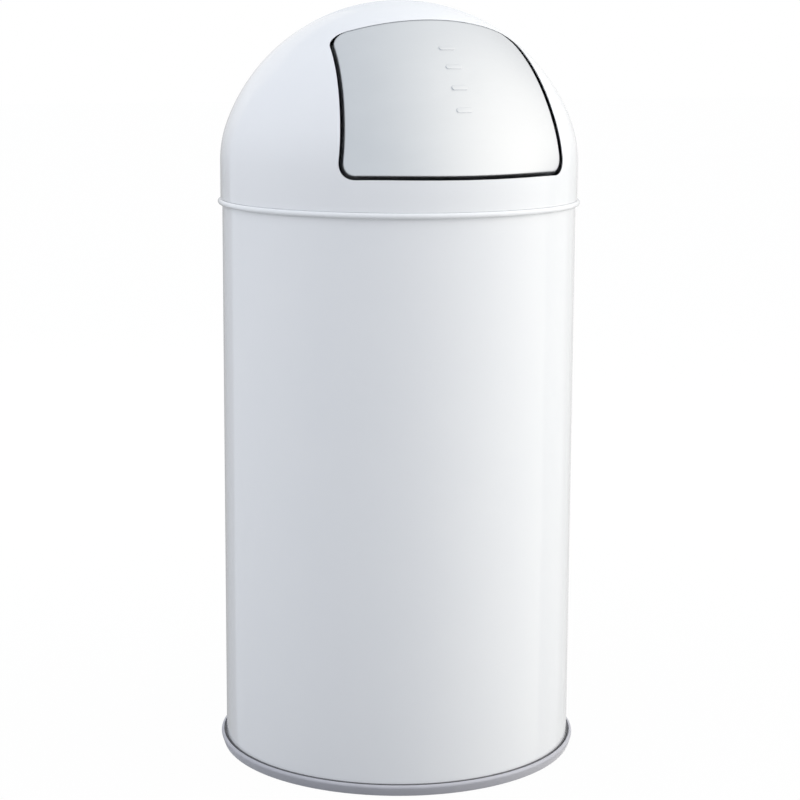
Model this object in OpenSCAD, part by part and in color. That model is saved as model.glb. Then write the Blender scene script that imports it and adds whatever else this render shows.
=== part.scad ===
// Round push-flap waste bin with a lift-off dome lid and an inner bucket.
// Millimetres. The origin is the middle of the face it stands on, +Z is up and the flap faces -Y.

/* [Body] */
// Outer radius of the rolled body
body_r = 149.5; // [130:0.5:180]
// Sheet thickness of the body and its bottom
body_wall = 0.8; // [0.6:0.1:1.2]
// Height of the top of the curled rim above the floor
rim_top = 475; // [380:1:560]
// Outer radius of the rim's curl
curl_r = 3.05; // [2.2:0.05:4]
// Height of the pressed bottom above the floor
bottom_z = 10; // [9.5:0.5:20]
// How far the hem under the body is turned in
hem_w = 2.8; // [2.4:0.1:3.2]
// Height of the hem's inner lip
hem_lip = 4.5; // [3:0.5:5]
// How far the middle of the bottom is raised
bottom_rise = 2; // [1:0.5:3]
// Width of the low border round the bottom's raised middle
bottom_border = 30; // [15:1:50]
// Width of the welded seam down the back
seam_w = 5; // [3:1:10]
// How far the seam stands proud
seam_proud = 0.3; // [0.2:0.1:0.6]

/* [Base ring] */
// Height of the plastic ring
ring_h = 9.2; // [8:0.1:12]
// How far the ring stands out from the body
ring_out = 4.6; // [3.5:0.1:6]
// Thickness of the ring under the hem
ring_floor = 2.3; // [1.5:0.1:3]
// Thickness of the ring's inner lip
ring_lip = 1.8; // [1.2:0.1:2.5]

/* [Inner bucket] */
// Clearance between the bucket and the inside of the body
liner_gap = 8.7; // [8:0.1:25]
// Sheet thickness of the bucket
liner_wall = 0.6; // [0.5:0.1:1]
// How far the bucket's rim lies under the body's rim
liner_drop = 27; // [24:1:60]
// Outer radius of the bucket's curled rim
liner_curl_r = 2.2; // [1.8:0.1:2.4]
// How far the hem under the bucket is turned in
liner_hem_w = 2.4; // [2.2:0.1:2.8]
// Height of the bucket's bottom above its hem
liner_foot = 6; // [5:0.5:12]
// Width of the lugs that carry the handle
lug_w = 24; // [18:1:30]
// Height of a lug's plate below the rim
lug_h = 32; // [26:1:50]
// Sheet thickness of the lugs
lug_t = 1.5; // [1:0.1:2]
// Rounding of a lug's top around the handle's hole
lug_round = 8; // [6:0.5:10]
// Wire diameter of the handle
bail_d = 4; // [3:0.1:4.4]
// Shank diameter of the rivets
rivet_d = 4; // [3:0.1:5]
// Distance between the two rivets of a lug
rivet_gap = 12; // [9:0.5:14]
// Height of the rivets above a lug's lower edge
rivet_up = 10; // [8:0.5:14]

/* [Dome lid] */
// How far the dome's straight skirt stands out from the body
dome_out = 1.5; // [0.7:0.1:2.5]
// Sheet thickness of the dome
dome_wall = 0.8; // [0.6:0.1:1.2]
// Height of the straight skirt
skirt_h = 31; // [20:0.5:45]
// Height of the dome above its skirt
crown_h = 133.7; // [125:0.1:145]
// Radius between the skirt and the crown
knuckle_r = 93.7; // [80:0.1:100]
// How far the neck reaches down into the body
neck_len = 16; // [10:0.5:18]
// Clearance of the neck inside the body
neck_gap = 1; // [0.6:0.1:2]

/* [Opening and flap] */
// Upward tilt of the direction in which the opening is cut
tilt = 32; // [28:1:36]
// Height of the opening, seen square on
opening_h = 149.2; // [130:0.2:155]
// Width of the opening at its top
opening_top_w = 163.4; // [150:0.2:170]
// Width of the opening at its bottom
opening_bottom_w = 202.2; // [180:0.2:208]
// How far the opening's middle lies above the middle of the crown
opening_rise = 6.9; // [3:0.1:9]
// Radius of the opening's bowed lower edge
bow_r = 267; // [240:1:400]
// Radius of the opening's corners
corner_r = 16; // [10:0.5:20]
// Running gap between the flap and the opening
flap_gap = 3.5; // [2.5:0.1:5]
// How far the flap's top reaches under the dome
flap_tuck = 2; // [1:0.1:4]
// Radius of the flap's top corners
flap_corner_r = 18; // [14:0.5:22]
// Sheet thickness of the flap
flap_wall = 0.8; // [0.6:0.1:1.2]
// Depth of the flap's turned-in edge
flap_edge = 7; // [4:0.5:10]

/* [Hinge] */
// How far the rod lies in front of the bin's axis
hinge_s = 34; // [32:0.5:36]
// Depth of the rod under the top of the dome
hinge_drop = 40; // [38:0.5:42]
// Diameter of the hinge rod
rod_d = 4; // [3:0.1:5]
// How far each dome bracket lies inside the top corner of the opening
bracket_in = 7.7; // [6:0.1:9]
// Distance between a dome bracket and the flap ear beside it
ear_gap = 14; // [13.5:0.5:16]
// Sheet thickness of the brackets and ears
lever_t = 1.5; // [1.2:0.1:2]
// Rounding of brackets and ears around the rod
boss_r = 8; // [6.5:0.1:9]
// How far an ear's tail reaches behind the rod
tail_len = 20; // [18:0.5:22]
// Outer diameter of the nylon bushes
bush_d = 7; // [6:0.1:8]
// Wire diameter of the closing springs
spring_wire = 1.2; // [1:0.1:1.4]
// Mean radius of the springs' coils
spring_r = 3.6; // [3.3:0.1:4.2]
// Turns of each spring
spring_turns = 5; // [4:1:5]

/* [Clearances] */
// Gap between pieces that rest on each other
seat_gap = 0.3; // [0.2:0.05:0.5]
// Gap between sheet pieces that are welded or seamed together
weld_gap = 0.2; // [0.1:0.05:0.3]
// Radial clearance of rods, rivets and bushes in their holes
pin_gap = 0.05; // [0.03:0.01:0.08]

/* [Hidden] */
$fn = 96;

// body
body_ri = body_r - body_wall;
curl_z = rim_top - curl_r;
curl_x = body_ri + curl_r;
curl_end = 235;
hem_z = ring_floor + seat_gap;
hem_ri = body_r - hem_w;
bottom_r = body_ri - weld_gap;
bottom_top = bottom_z + body_wall;
panel_r = body_r - bottom_border;
panel_slope = 2 * bottom_rise;
ring_r = body_r + ring_out;
ring_ri = hem_ri - seat_gap - ring_lip;
ring_round = 2.6;
ring_edge = 0.8;

// inner bucket
liner_r = body_ri - liner_gap;
liner_ri = liner_r - liner_wall;
liner_z = bottom_top + seat_gap;
liner_top = rim_top - liner_drop;
liner_curl_x = liner_ri + liner_curl_r;
liner_curl_z = liner_top - liner_curl_r;
liner_hem_ri = liner_r - liner_hem_w;
liner_hem_lip = 3.5;
liner_bottom_r = liner_ri - weld_gap;
bail_r = liner_curl_x;
bail_z = liner_top + seat_gap + bail_d / 2;
lug_x = sqrt(pow(liner_ri, 2) - pow(lug_w / 2, 2)) - weld_gap / 2;
lug_neck = 14;
lug_cheek = 0.9 * lug_round;
elbow_r = bail_r - lug_x;
elbow_swell = 0.03;
hook_in = lug_t + seat_gap;
hook_head_r = 0.85 * bail_d;
hook_head_t = 1.5;
rivet_z = liner_top - lug_h + rivet_up;
rivet_head_r = 0.9 * rivet_d;
rivet_head_t = 1.2;

// dome
dome_r = body_r + dome_out;
ledge_z = rim_top + seat_gap;
bend_in = 0.6;
bend_out = bend_in + dome_wall;
skirt_z = ledge_z + bend_out;
knuckle_z = ledge_z + skirt_h;
dome_top = knuckle_z + crown_h;
knuckle_x = dome_r - knuckle_r;
crown_r = (pow(knuckle_x, 2) + pow(crown_h, 2) - pow(knuckle_r, 2)) / (2 * (crown_h - knuckle_r));
crown_z = dome_top - crown_r;
knuckle_end = atan2(knuckle_z - crown_z, knuckle_x);
// the knuckle laps over the crown by a small angle, and the crown starts a hair lower there
knuckle_lap = 0.8;
crown_step = 0.01;
core_rise = 10;
neck_r = body_ri - neck_gap;
neck_z = rim_top - neck_len;

// flap: its outline lies in a plane square to the tilted direction, measured from the crown's middle
recess = dome_wall + seat_gap;
flap_ri = crown_r - recess - flap_wall;
opening_top = opening_rise + opening_h / 2;
opening_bottom = opening_rise - opening_h / 2;
lean = atan((opening_bottom_w - opening_top_w) / 2 / opening_h);

// hinge
bracket_u = opening_top_w / 2 - bracket_in;
ear_u = bracket_u - ear_gap;
hinge_z = dome_top - hinge_drop;
hinge_rise = hinge_z - crown_z;
rod_r = rod_d / 2;
hole_r = rod_r + pin_gap;
clip_r = 2.4 * rod_r;
clip_t = 1.2;
clip_u = bracket_u + lever_t / 2 + seat_gap;
rod_end = clip_u + clip_t + rod_r;
bush_flange_t = 1;
bush_flange_r = bush_d / 2 + 1.5;
bush_u = ear_u + lever_t / 2;
bush_in = 2;
weld_flange_w = 12;
// the ears, seen from the side and measured from the rod
tail_z = -2;
tail_h = 8;
arm_up = 14;
arm_down = 36;
arm_len = 80;
arm_root = 0.9 * boss_r;
flange_low = 26;
flange_high = 6;
flange_start = 20;
// the brackets, their tabs and the stop pads, measured from the rod
pad_back = tail_len - 4;
pad_h = 3.7;
pad_r = 4.5;
pad_stem_r = 2;
pad_lip_r = 3.2;
pad_lip_t = 1.5;
tab_w = 12;
tab_top = tail_z - seat_gap - pad_h;
tab_u = ear_u - tab_w / 2;
bracket_back = tail_len + 6;
bracket_cut = 4;

// springs
spring_u = [
  bush_u + bush_flange_t + 2 * seat_gap + spring_wire / 2,
  bracket_u - lever_t / 2 - seat_gap - spring_wire / 2
];
flap_leg_dir = -5;
dome_leg_dir = 135;
coil_rings = 8;
tube_sides = 6;

// ---------- shared functions ----------

// points along an arc
function arc(centre, r, from, to, n) =
  [for (i = [0:n]) let (a = from + (to - from) * i / n) centre + r * [cos(a), sin(a)]];

// half width of the opening, less an inset, at height t in the outline's plane
function half_width(t, inset) =
  opening_top_w / 2 + (opening_top - t) * tan(lean) - inset / cos(lean);

// the opening's outline, or the flap's when it is inset and reaches up by tuck
function outline(inset, tuck, top_r, bottom_r) =
  let (
    top = opening_top + tuck,
    top_c = [half_width(top, inset) - top_r * (1 - sin(lean)) / cos(lean), top - top_r],
    bow = bow_r - inset,
    bow_c = [0, opening_bottom + bow_r],
    down = [sin(lean), -cos(lean)],
    start = [half_width(top, inset), top] - bottom_r * [cos(lean), sin(lean)] - bow_c,
    along = start * down,
    run = -along + sqrt(pow(along, 2) - start * start + pow(bow - bottom_r, 2)),
    low_c = bow_c + start + run * down,
    low_a = atan2(low_c[1] - bow_c[1], low_c[0] - bow_c[0])
  )
  concat(
    arc(bow_c, bow, -180 - low_a, low_a, 24),
    arc(low_c, bottom_r, low_a, lean, 10),
    arc(top_c, top_r, lean, 90, 10),
    arc([-top_c[0], top_c[1]], top_r, 90, 180 - lean, 10),
    arc([-low_c[0], low_c[1]], bottom_r, 180 - lean, 180 - low_a, 10)
  );

// distance from p along d to the circle of radius r about the origin
function reach(p, d, r) = -(p * d) + sqrt(pow(p * d, 2) - p * p + r * r);

// unit vector
function unit(v) = v / norm(v);

// direction of a path at point i
function tangent(path, i) =
  unit(path[min(i + 1, len(path) - 1)] - path[max(i - 1, 0)]);

// least distance between points of a path that lie more than half a turn apart
function least_gap(path) =
  let (last = len(path) - 1, apart = coil_rings / 2 + 1)
  min([for (i = [0:last]) for (j = [i + apart:1:last]) norm(path[i] - path[j])]);

// ---------- shared modules ----------

// round wire along a path whose direction is never parallel to X
module wire(path, r) {
  rings = len(path);
  points = [
    for (i = [0:rings - 1])
      let (t = tangent(path, i), n = unit(cross(t, [1, 0, 0])), b = cross(t, n))
        for (k = [0:tube_sides - 1])
          path[i] + r * (cos(360 * k / tube_sides) * n + sin(360 * k / tube_sides) * b)
  ];
  sides = [
    for (i = [0:rings - 2]) for (k = [0:tube_sides - 1])
      let (a = i * tube_sides + k, b = i * tube_sides + (k + 1) % tube_sides)
        each [[a, a + tube_sides, b], [b, a + tube_sides, b + tube_sides]]
  ];
  last = (rings - 1) * tube_sides;
  first_cap = [for (k = [1:tube_sides - 2]) [0, k, k + 1]];
  last_cap = [for (k = [1:tube_sides - 2]) [last, last + k + 1, last + k]];
  polyhedron(points, concat(sides, first_cap, last_cap), convexity = 6);
}

// part of a flat ring between two angles under 180 degrees apart
module bend(centre, r_out, r_in, from, to) {
  reach_r = 3 * r_out;
  mid = (from + to) / 2;
  translate(centre) intersection() {
    difference() {
      circle(r_out);
      circle(r_in);
    }
    polygon([
      [0, 0],
      reach_r * [cos(from), sin(from)],
      reach_r * [cos(mid), sin(mid)],
      reach_r * [cos(to), sin(to)]
    ]);
  }
}

// a sheet's edge curled outwards from a wall that ends at the curl's middle height
module curl(x, z, r, wall) {
  bend([x, z], r, r - wall, 90, 180);
  bend([x, z], r, r - wall, 0, 90);
  bend([x, z], r, r - wall, -90, 0);
  bend([x, z], r, r - wall, curl_end - 360, -90);
}

// half profile of the dome, filled to the axis, its surface set back by off
module dome_profile(off, low) {
  crown_reach = 2 * crown_r;
  intersection() {
    translate([0, crown_z]) circle(crown_r - off - crown_step);
    polygon([
      [0, crown_z],
      [crown_reach * cos(knuckle_end), crown_z + crown_reach * sin(knuckle_end)],
      [0, crown_z + crown_reach]
    ]);
  }
  knuckle_reach = 2 * knuckle_r;
  lap_end = knuckle_end + knuckle_lap;
  intersection() {
    translate([knuckle_x, knuckle_z]) circle(knuckle_r - off);
    polygon([
      [knuckle_x, knuckle_z],
      [knuckle_x + knuckle_reach, knuckle_z],
      [knuckle_x + knuckle_reach * cos(lap_end), knuckle_z + knuckle_reach * sin(lap_end)]
    ]);
  }
  polygon([
    [0, low],
    [dome_r - off, low],
    [dome_r - off, knuckle_z],
    [knuckle_x, knuckle_z + core_rise],
    [0, crown_z + core_rise]
  ]);
}

// places a flat outline on the tilted plane through the crown's middle, facing outwards
module on_tilt(from, depth) {
  translate([0, 0, crown_z]) rotate([90 - tilt, 0, 0]) translate([0, 0, from]) linear_extrude(depth)
    children();
}

// a plate in a plane of constant X, drawn with forwards to the right and the rod at the origin
module plate_at(u, t) {
  translate([u, -hinge_s, hinge_z]) rotate([90, 0, -90]) translate([0, 0, -t / 2]) linear_extrude(t)
    children();
}

// a cylinder along X about the rod's axis, or about a place given from it
module along_x(u0, u1, r, s = 0, z = 0) {
  translate([u0, -hinge_s - s, hinge_z + z]) rotate([0, 90, 0]) cylinder(h = u1 - u0, r = r);
}

// the crown's sphere, for pieces that follow the inside of the dome or the flap
module crown_ball(r) {
  translate([0, 0, crown_z]) sphere(r);
}

// ---------- outer bin ----------

module body_shell() {
  color("white") {
    rotate_extrude() {
      translate([body_ri, hem_z]) square([body_wall, curl_z - hem_z]);
      translate([hem_ri, hem_z]) square([body_ri - hem_ri, body_wall]);
      translate([hem_ri, hem_z + body_wall]) square([body_wall, hem_lip]);
      curl(curl_x, curl_z, curl_r, body_wall);
    }
    intersection() {
      difference() {
        translate([0, 0, ring_h + seat_gap])
          cylinder(h = curl_z - curl_r - ring_h - 2 * seat_gap, r = body_r + seam_proud);
        cylinder(h = rim_top, r = body_r - body_wall / 2);
      }
      translate([-seam_w / 2, 0, 0]) cube([seam_w, 2 * body_r, rim_top]);
    }
  }
}

module body_bottom() {
  flange_ri = bottom_r - body_wall;
  color("white") rotate_extrude() polygon([
    [0, bottom_z + bottom_rise],
    [panel_r, bottom_z + bottom_rise],
    [panel_r + panel_slope, bottom_z],
    [flange_ri, bottom_z],
    [flange_ri, hem_z + body_wall + weld_gap],
    [bottom_r, hem_z + body_wall + weld_gap],
    [bottom_r, bottom_top],
    [panel_r + panel_slope, bottom_top],
    [panel_r, bottom_top + bottom_rise],
    [0, bottom_top + bottom_rise]
  ]);
}

module base_ring() {
  wall_ri = body_r + seat_gap;
  color("darkgray") rotate_extrude() polygon(concat(
    [[ring_ri + ring_edge, 0]],
    arc([ring_r - ring_edge, ring_edge], ring_edge, -90, 0, 4),
    arc([ring_r - ring_round, ring_h - ring_round], ring_round, 0, 90, 8),
    [
      [wall_ri + ring_edge, ring_h],
      [wall_ri, ring_h - ring_edge],
      [wall_ri, ring_floor],
      [ring_ri + ring_lip, ring_floor],
      [ring_ri + ring_lip, ring_floor + hem_lip],
      [ring_ri, ring_floor + hem_lip],
      [ring_ri, ring_edge]
    ]
  ));
}

// ---------- inner bucket ----------

// sets its children at the two rivets of each lug, pointing outwards
module at_rivets() {
  for (side = [0, 180]) for (y = [-rivet_gap / 2, rivet_gap / 2])
    rotate([0, 0, side]) translate([0, y, rivet_z]) rotate([0, 90, 0]) children();
}

module liner_shell() {
  color("silver") difference() {
    rotate_extrude() {
      translate([liner_ri, liner_z]) square([liner_wall, liner_curl_z - liner_z]);
      translate([liner_hem_ri, liner_z]) square([liner_ri - liner_hem_ri, liner_wall]);
      translate([liner_hem_ri, liner_z + liner_wall]) square([liner_wall, liner_hem_lip]);
      curl(liner_curl_x, liner_curl_z, liner_curl_r, liner_wall);
    }
    at_rivets() cylinder(h = 2 * liner_r, r = rivet_d / 2 + pin_gap);
  }
}

module liner_bottom() {
  flange_ri = liner_bottom_r - liner_wall;
  disc_z = liner_z + liner_foot;
  color("silver") rotate_extrude() polygon([
    [0, disc_z],
    [flange_ri, disc_z],
    [flange_ri, liner_z + liner_wall + weld_gap],
    [liner_bottom_r, liner_z + liner_wall + weld_gap],
    [liner_bottom_r, disc_z + liner_wall],
    [0, disc_z + liner_wall]
  ]);
}

// a lug on the +X side; the left one is turned half round
module liner_ear() {
  color("gray") difference() {
    translate([lug_x - lug_t, 0, 0]) rotate([90, 0, 90]) linear_extrude(lug_t) {
      translate([-lug_w / 2, liner_top - lug_h]) square([lug_w, lug_h - lug_neck]);
      polygon([
        [-lug_w / 2, liner_top - lug_neck],
        [lug_w / 2, liner_top - lug_neck],
        [lug_cheek, bail_z],
        [-lug_cheek, bail_z]
      ]);
      translate([0, bail_z]) circle(lug_round);
    }
    translate([lug_x - 2 * lug_t, 0, bail_z]) rotate([0, 90, 0])
      cylinder(h = 3 * lug_t, r = bail_d / 2 + pin_gap);
    at_rivets() cylinder(h = 2 * liner_r, r = rivet_d / 2 + pin_gap);
  }
}

module liner_ear_right() {
  liner_ear();
}

module liner_ear_left() {
  rotate([0, 0, 180]) liner_ear();
}

module liner_rivets() {
  head_in = lug_x - lug_t - weld_gap / 2;
  head_out = liner_r + weld_gap / 2;
  color("silver") at_rivets() {
    translate([0, 0, head_in - rivet_head_t / 2])
      cylinder(h = head_out - head_in + rivet_head_t, r = rivet_d / 2);
    translate([0, 0, head_in - rivet_head_t])
      cylinder(h = rivet_head_t, r1 = 0.7 * rivet_head_r, r2 = rivet_head_r);
    translate([0, 0, head_out])
      cylinder(h = rivet_head_t, r1 = rivet_head_r, r2 = 0.7 * rivet_head_r);
  }
}

// half a hoop, with its ends bent in through the lugs; the bends are swollen a little, as bent wire is
module bail_handle() {
  r = bail_d / 2;
  elbow_x = sqrt(pow(bail_r - elbow_r, 2) - pow(elbow_r, 2));
  elbow_a = atan2(elbow_r, elbow_x);
  elbow_lap = 5;
  head_x = lug_x - hook_in;
  color("gray") translate([0, 0, bail_z]) {
    rotate([0, 0, elbow_a]) rotate_extrude(angle = 180 - 2 * elbow_a) translate([bail_r, 0]) circle(r);
    for (side = [0, 1]) mirror([side, 0, 0]) {
      translate([elbow_x, elbow_r, 0]) rotate([0, 0, -90])
        rotate_extrude(angle = 90 + elbow_a + elbow_lap) translate([elbow_r, 0]) circle(r + elbow_swell);
      translate([head_x - 0.1, 0, 0]) rotate([0, 90, 0]) cylinder(h = elbow_x - head_x + 0.3, r = r);
      translate([head_x - hook_head_t, 0, 0]) rotate([0, 90, 0]) cylinder(h = hook_head_t, r = hook_head_r);
    }
  }
}

// ---------- dome lid ----------

module dome_shell() {
  color("white") difference() {
    rotate_extrude() {
      difference() {
        dome_profile(0, skirt_z);
        dome_profile(dome_wall, skirt_z - 1);
      }
      bend([dome_r - bend_out, skirt_z], bend_out, bend_in, -90, 0);
      translate([neck_r + bend_in, ledge_z]) square([dome_r - bend_out - neck_r - bend_in, dome_wall]);
      bend([neck_r + bend_in, ledge_z - bend_in], bend_out, bend_in, 90, 180);
      translate([neck_r - dome_wall, neck_z]) square([dome_wall, ledge_z - bend_in - neck_z]);
    }
    on_tilt(0, 2 * crown_r) polygon(outline(0, 0, corner_r, corner_r));
  }
}

// a bracket on the +X side, with a tab for the stop pad and a flange spot-welded under the dome
module hinge_bracket() {
  u = bracket_u;
  inner_r = crown_r - dome_wall - weld_gap;
  tab_z = tab_top - lever_t;
  color("silver") difference() {
    union() {
      intersection() {
        crown_ball(inner_r);
        plate_at(u, lever_t) {
          circle(boss_r);
          polygon([
            [0, tab_z],
            [bracket_cut - bracket_back, tab_z],
            [-bracket_back, tab_z + bracket_cut],
            [-bracket_back, hinge_drop],
            [-bracket_cut, hinge_drop],
            boss_r * unit([1, 1]),
            [0.9 * boss_r, 0]
          ]);
        }
      }
      intersection() {
        difference() {
          crown_ball(inner_r);
          crown_ball(inner_r - lever_t);
        }
        translate([u - lever_t / 2, bracket_cut - hinge_s, hinge_z])
          cube([weld_flange_w + lever_t, bracket_back - bracket_cut, hinge_drop]);
      }
      translate([tab_u, pad_back - hinge_s - tab_w / 2, hinge_z + tab_z])
        cube([u - tab_u, tab_w, lever_t]);
    }
    along_x(u - 2 * lever_t, u + 2 * lever_t, hole_r);
    translate([ear_u, pad_back - hinge_s, hinge_z + tab_z - lever_t])
      cylinder(h = 3 * lever_t, r = pad_stem_r + pin_gap);
  }
}

module hinge_bracket_right() {
  hinge_bracket();
}

module hinge_bracket_left() {
  mirror([1, 0, 0]) hinge_bracket();
}

module hinge_rod() {
  color("silver") along_x(-rod_end, rod_end, rod_r);
}

module rod_clips() {
  color("dimgray") for (side = [0, 1]) mirror([side, 0, 0]) difference() {
    union() {
      along_x(clip_u, clip_u + clip_t / 2, clip_r);
      along_x(clip_u, clip_u + clip_t, 0.75 * clip_r);
    }
    along_x(clip_u - 1, clip_u + clip_t + 1, hole_r);
  }
}

// path of the spring on the +X side: dome leg, coil, flap leg
function spring_path() =
  let (
    dome_d = [cos(dome_leg_dir), sin(dome_leg_dir)],
    flap_d = [cos(flap_leg_dir), sin(flap_leg_dir)],
    start_a = dome_leg_dir - 90,
    end_a = flap_leg_dir + 90 - 360 * spring_turns,
    n = round((start_a - end_a) / 360 * coil_rings),
    hinge_at = [hinge_s, hinge_rise],
    on_coil = function (a) hinge_at + spring_r * [cos(a), sin(a)],
    free = seat_gap + spring_wire / 2,
    dome_rho = sqrt(pow(crown_r - dome_wall - free, 2) - pow(spring_u[1], 2)),
    flap_rho = sqrt(pow(flap_ri - free, 2) - pow(spring_u[0], 2)),
    dome_leg = reach(on_coil(start_a), dome_d, dome_rho),
    flap_leg = reach(on_coil(end_a), flap_d, flap_rho),
    place = function (u, p) [u, -p[0], crown_z + p[1]]
  )
  concat(
    [place(spring_u[1], on_coil(start_a) + dome_leg * dome_d)],
    [place(spring_u[1], on_coil(start_a) + dome_leg / 2 * dome_d)],
    [
      for (i = [0:n])
        place(spring_u[1] + (spring_u[0] - spring_u[1]) * i / n, on_coil(start_a + (end_a - start_a) * i / n))
    ],
    [place(spring_u[0], on_coil(end_a) + flap_leg / 2 * flap_d)],
    [place(spring_u[0], on_coil(end_a) + flap_leg * flap_d)]
  );

module torsion_spring_right() {
  color("silver") wire(spring_path(), spring_wire / 2);
}

module torsion_spring_left() {
  color("silver") mirror([1, 0, 0]) wire(spring_path(), spring_wire / 2);
}

module stop_pads() {
  color("black") for (side = [-1, 1])
    translate([side * ear_u, pad_back - hinge_s, hinge_z + tab_top]) {
      cylinder(h = pad_h, r1 = pad_r, r2 = 0.8 * pad_r);
      translate([0, 0, -lever_t - pad_lip_t / 2]) cylinder(h = lever_t + pad_lip_t, r = pad_stem_r);
      translate([0, 0, -lever_t - pad_lip_t]) cylinder(h = pad_lip_t, r1 = pad_stem_r, r2 = pad_lip_r);
    }
}

// ---------- swing flap ----------

// the panel follows the dome a little deeper, and its edge is turned in along the tilted direction
module flap_panel() {
  bottom_r = corner_r - flap_gap;
  inset = flap_gap + flap_wall;
  color("lightgray") difference() {
    intersection() {
      rotate_extrude() dome_profile(recess, skirt_z);
      on_tilt(0, 2 * crown_r) polygon(outline(flap_gap, flap_tuck, flap_corner_r, bottom_r));
    }
    intersection() {
      rotate_extrude() dome_profile(recess + flap_wall, skirt_z - 1);
      on_tilt(-1, 2 * crown_r)
        polygon(outline(inset, flap_tuck - flap_wall, flap_corner_r - flap_wall, bottom_r - flap_wall));
    }
    translate(-flap_edge * [0, -cos(tilt), sin(tilt)]) rotate_extrude() dome_profile(recess, neck_z);
  }
}

// an ear on the +X side: boss on the rod, tail over the stop pad, arm and flange to the panel
module flap_ear() {
  outer_r = flap_ri - weld_gap;
  color("silver") difference() {
    union() {
      intersection() {
        crown_ball(outer_r);
        plate_at(ear_u, lever_t) {
          circle(boss_r);
          translate([-tail_len, tail_z]) square([tail_len, tail_h]);
          polygon([[0, arm_root], [arm_len, arm_up], [arm_len, -arm_down], [0, -arm_root]]);
        }
      }
      intersection() {
        difference() {
          crown_ball(outer_r);
          crown_ball(outer_r - lever_t);
        }
        translate([bush_u - weld_flange_w - lever_t, -hinge_s - flange_start - arm_len, hinge_z - flange_low])
          cube([weld_flange_w + lever_t, arm_len, flange_low + flange_high]);
      }
    }
    along_x(ear_u - 2 * lever_t, ear_u + 2 * lever_t, bush_d / 2 + pin_gap);
  }
}

module flap_ear_right() {
  flap_ear();
}

module flap_ear_left() {
  mirror([1, 0, 0]) flap_ear();
}

// a flanged bush on the +X side
module flap_bush() {
  color("ivory") difference() {
    union() {
      along_x(bush_u - lever_t - bush_in, bush_u + bush_flange_t / 2, bush_d / 2);
      along_x(bush_u + pin_gap, bush_u + bush_flange_t, bush_flange_r);
    }
    along_x(bush_u - bush_d, bush_u + bush_d, hole_r);
  }
}

module flap_bush_right() {
  flap_bush();
}

module flap_bush_left() {
  mirror([1, 0, 0]) flap_bush();
}

echo(least_gap_between_spring_turns = least_gap(spring_path()) - spring_wire);

body_shell();
body_bottom();
base_ring();
liner_shell();
liner_bottom();
liner_ear_left();
liner_ear_right();
liner_rivets();
bail_handle();
dome_shell();
hinge_bracket_left();
hinge_bracket_right();
hinge_rod();
rod_clips();
torsion_spring_left();
torsion_spring_right();
stop_pads();
flap_panel();
flap_ear_left();
flap_ear_right();
flap_bush_left();
flap_bush_right();
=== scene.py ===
import math

import bmesh
import bpy
from mathutils import Matrix, Vector


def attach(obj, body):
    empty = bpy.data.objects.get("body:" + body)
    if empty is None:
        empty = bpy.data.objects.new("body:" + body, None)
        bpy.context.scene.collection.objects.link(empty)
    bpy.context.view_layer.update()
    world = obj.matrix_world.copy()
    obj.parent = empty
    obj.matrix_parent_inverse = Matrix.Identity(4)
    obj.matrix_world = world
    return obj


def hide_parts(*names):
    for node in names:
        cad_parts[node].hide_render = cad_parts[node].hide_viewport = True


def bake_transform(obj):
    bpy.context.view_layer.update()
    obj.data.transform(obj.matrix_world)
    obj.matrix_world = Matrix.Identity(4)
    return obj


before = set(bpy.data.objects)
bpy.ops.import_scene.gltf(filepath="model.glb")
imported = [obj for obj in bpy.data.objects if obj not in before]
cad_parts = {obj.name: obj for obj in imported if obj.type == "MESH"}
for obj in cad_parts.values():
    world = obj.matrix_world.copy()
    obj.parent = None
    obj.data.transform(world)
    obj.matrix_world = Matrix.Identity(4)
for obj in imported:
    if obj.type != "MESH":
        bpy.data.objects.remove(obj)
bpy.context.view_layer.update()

bpy.ops.object.select_all(action="DESELECT")


# ---------------------------------------------------------------------------
# View
# The photograph was taken a little to the left of the flap's middle, from just above the rim, and its
# frame hangs a little low, which the lens shift gives back.

VIEW_AZIMUTH = math.radians(-21.86)
VIEW_DISTANCE = 1.7519
VIEW_HEIGHT = 0.617
VIEW_DOWN = math.radians(9.15)
VIEW_ROLL = 0.0045
LENS = 92.83
SENSOR = 36
SHIFT_RIGHT = 0.0023
SHIFT_UP = -0.05

bpy.ops.object.camera_add()
camera = bpy.context.object
camera.data.lens = LENS
camera.data.sensor_width = SENSOR
camera.data.shift_x = SHIFT_RIGHT
camera.data.shift_y = SHIFT_UP
camera.matrix_world = (
    Matrix.Rotation(VIEW_AZIMUTH, 4, "Z")
    @ Matrix.Translation((0, -VIEW_DISTANCE, VIEW_HEIGHT))
    @ Matrix.Rotation(math.pi / 2 - VIEW_DOWN, 4, "X")
    @ Matrix.Rotation(VIEW_ROLL, 4, "Z")
)
bpy.context.scene.camera = camera
bpy.context.scene.view_settings.view_transform = "Standard"


# ---------------------------------------------------------------------------
# Stage
# A white studio: a pale floor that runs out of sight, greyer near the bin with a painted shadow, one large
# soft lamp on the right, two weaker ones on the left, a narrow one behind, and three cards behind the bin
# that draw its edges in the gloss.

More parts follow.
